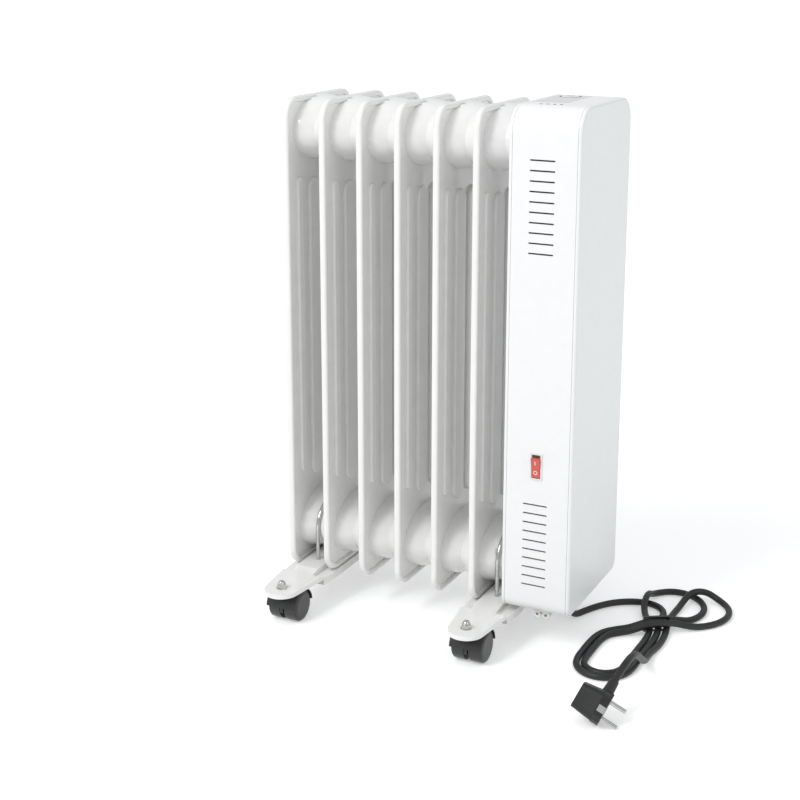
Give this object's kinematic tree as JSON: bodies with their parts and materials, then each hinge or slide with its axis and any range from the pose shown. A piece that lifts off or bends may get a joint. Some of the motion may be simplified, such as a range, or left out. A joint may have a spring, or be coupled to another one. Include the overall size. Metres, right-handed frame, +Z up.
{
  "type": "oil filled radiator heater",
  "caption": "Upright white oil filled radiator on castor feet: pressed steel fins, a narrow control box with louvres and a rocker switch, and a tied black mains lead with an earthed plug.",
  "frame": {"origin": "on the floor under the middle of the heater, without its lead", "axes": "+X along the row of fins to the control box, +Y to the rear, +Z up"},
  "size_m": [0.5201, 0.3874, 0.6273],
  "materials": {
    "fin_enamel": "gloss enamel over pressed steel",
    "box_enamel": "satin enamel over sheet steel",
    "panel_plastic": "moulded plastic, semi gloss",
    "clear_inlay": "smooth film",
    "button_plastic": "moulded plastic",
    "spring_steel": "bright drawn wire and bar",
    "sealing": "moulded",
    "brass": "turned",
    "board": "glass fibre laminate",
    "switch_red": "translucent moulded plastic",
    "switch_black": "moulded plastic",
    "bright_steel": "bright plated",
    "castor_black": "moulded nylon, fine grain",
    "wheel_black": "moulded nylon",
    "axle_steel": "bright drawn bar",
    "cord_black": "flexible plastic sheath and moulding",
    "tie_black": "wire tie in plastic"
  },
  "bodies": {
    "heater": {"fin_1": "fin_enamel", "fin_2": "fin_enamel", "fin_3": "fin_enamel", "fin_4": "fin_enamel", "fin_5": "fin_enamel", "fin_6": "fin_enamel", "lower_header_neck": "fin_enamel", "upper_header_neck": "fin_enamel", "foot_left": "fin_enamel", "foot_right": "fin_enamel", "box_housing": "box_enamel", "box_closing_plate": "box_enamel", "box_end_panel": "panel_plastic", "cord_hook": "panel_plastic", "control_inlay": "clear_inlay", "board_spacers": "button_plastic", "indicator_lamps": "button_plastic", "button_spring": "spring_steel", "heating_element": "spring_steel", "closing_screws": "spring_steel", "castor_stems": "spring_steel", "element_gasket": "sealing", "element_flange": "brass", "control_board": "board", "rocker_switch_body": "switch_black", "thermostat": "switch_black", "tip_over_switch": "switch_black", "terminal_block": "switch_black", "wiring_loom": "switch_black", "u_bolt_left": "bright_steel", "u_bolt_right": "bright_steel", "u_bolt_nuts": "bright_steel", "cap_nuts": "bright_steel", "plug_pins": "bright_steel", "plug_earth_clips": "bright_steel", "cord_gland": "cord_black", "cord_lead": "cord_black", "cord_hank": "cord_black", "cord_tail": "cord_black", "plug_body": "cord_black", "cord_tie": "tie_black"},
    "castor_front_left": {"castor_hood_front_left": "castor_black", "castor_axle_front_left": "axle_steel"},
    "wheel_front_left_a": {"wheel_front_left_a": "wheel_black"},
    "wheel_front_left_b": {"wheel_front_left_b": "wheel_black"},
    "castor_front_right": {"castor_hood_front_right": "castor_black", "castor_axle_front_right": "axle_steel"},
    "wheel_front_right_a": {"wheel_front_right_a": "wheel_black"},
    "wheel_front_right_b": {"wheel_front_right_b": "wheel_black"},
    "castor_back_left": {"castor_hood_back_left": "castor_black", "castor_axle_back_left": "axle_steel"},
    "wheel_back_left_a": {"wheel_back_left_a": "wheel_black"},
    "wheel_back_left_b": {"wheel_back_left_b": "wheel_black"},
    "castor_back_right": {"castor_hood_back_right": "castor_black", "castor_axle_back_right": "axle_steel"},
    "wheel_back_right_a": {"wheel_back_right_a": "wheel_black"},
    "wheel_back_right_b": {"wheel_back_right_b": "wheel_black"},
    "power_button": {"power_button": "button_plastic"},
    "power_rocker": {"power_rocker": "switch_red"}
  },
  "joints": [
    {"name": "swivel_front_left", "type": "hinge", "parent": "heater", "child": "castor_front_left", "pos_m": [-0.15245, -0.1455, 0.038], "axis": [0, 0, 1], "continuous": true},
    {"name": "roll_front_left_a", "type": "hinge", "parent": "castor_front_left", "child": "wheel_front_left_a", "pos_m": [-0.15245, -0.128, 0.019], "axis": [1, 0, 0], "continuous": true},
    {"name": "roll_front_left_b", "type": "hinge", "parent": "castor_front_left", "child": "wheel_front_left_b", "pos_m": [-0.15245, -0.128, 0.019], "axis": [1, 0, 0], "continuous": true},
    {"name": "swivel_front_right", "type": "hinge", "parent": "heater", "child": "castor_front_right", "pos_m": [0.08905, -0.1455, 0.038], "axis": [0, 0, 1], "continuous": true},
    {"name": "roll_front_right_a", "type": "hinge", "parent": "castor_front_right", "child": "wheel_front_right_a", "pos_m": [0.08905, -0.128, 0.019], "axis": [1, 0, 0], "continuous": true},
    {"name": "roll_front_right_b", "type": "hinge", "parent": "castor_front_right", "child": "wheel_front_right_b", "pos_m": [0.08905, -0.128, 0.019], "axis": [1, 0, 0], "continuous": true},
    {"name": "swivel_back_left", "type": "hinge", "parent": "heater", "child": "castor_back_left", "pos_m": [-0.15245, 0.1455, 0.038], "axis": [0, 0, 1], "continuous": true},
    {"name": "roll_back_left_a", "type": "hinge", "parent": "castor_back_left", "child": "wheel_back_left_a", "pos_m": [-0.15245, 0.128, 0.019], "axis": [1, 0, 0], "continuous": true},
    {"name": "roll_back_left_b", "type": "hinge", "parent": "castor_back_left", "child": "wheel_back_left_b", "pos_m": [-0.15245, 0.128, 0.019], "axis": [1, 0, 0], "continuous": true},
    {"name": "swivel_back_right", "type": "hinge", "parent": "heater", "child": "castor_back_right", "pos_m": [0.08905, 0.1455, 0.038], "axis": [0, 0, 1], "continuous": true},
    {"name": "roll_back_right_a", "type": "hinge", "parent": "castor_back_right", "child": "wheel_back_right_a", "pos_m": [0.08905, 0.128, 0.019], "axis": [1, 0, 0], "continuous": true},
    {"name": "roll_back_right_b", "type": "hinge", "parent": "castor_back_right", "child": "wheel_back_right_b", "pos_m": [0.08905, 0.128, 0.019], "axis": [1, 0, 0], "continuous": true},
    {"name": "button_press", "type": "slide", "parent": "heater", "child": "power_button", "axis": [0, 0, -1], "range_m": [0, 0.0012], "stiffness_N_per_m": 400},
    {"name": "rocker_tip", "type": "hinge", "parent": "heater", "child": "power_rocker", "pos_m": [0.1446, -0.0796, 0.2266], "axis": [1, 0, 0], "range_deg": [-16, 0]}
  ]
}
